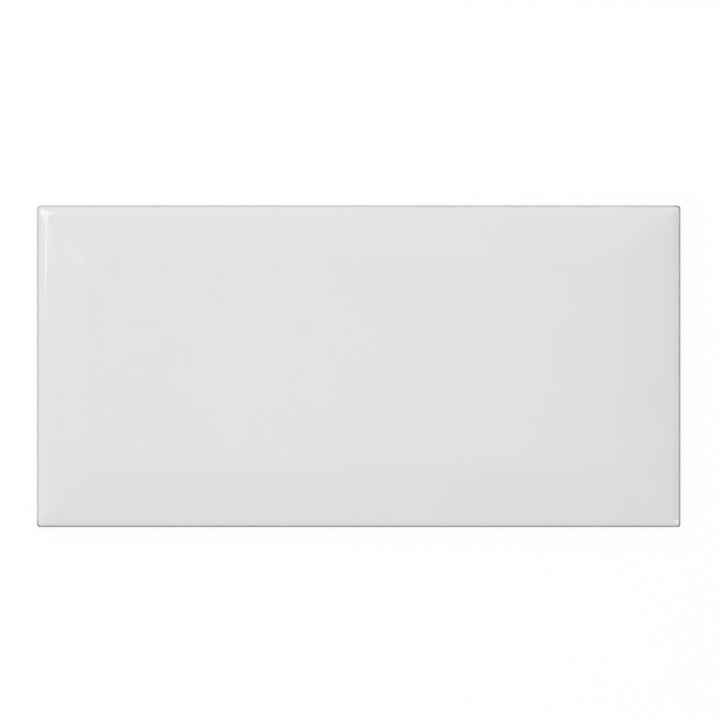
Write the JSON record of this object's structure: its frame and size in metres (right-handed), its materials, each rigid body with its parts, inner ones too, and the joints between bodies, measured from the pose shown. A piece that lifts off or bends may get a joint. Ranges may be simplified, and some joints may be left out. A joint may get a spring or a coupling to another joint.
{
  "type": "wall tile",
  "caption": "Oblong bevelled ceramic wall tile with a raised flat field, mitred sloping borders, a rolled glossy white rim and a shallow keyed back for adhesive.",
  "frame": {"origin": "middle of the back, in the plane that the ribs between the keys lie in", "axes": "+X along the tile's length, +Y across its width, +Z out of the glazed face; the tile lies on its back"},
  "size_m": [0.2, 0.1, 0.007],
  "materials": {
    "glazed_tile": "glossy white glaze on the face and rim, unglazed pale body on the sides and back"
  },
  "bodies": {
    "root": {"wall_tile": "glazed_tile"}
  },
  "joints": []
}
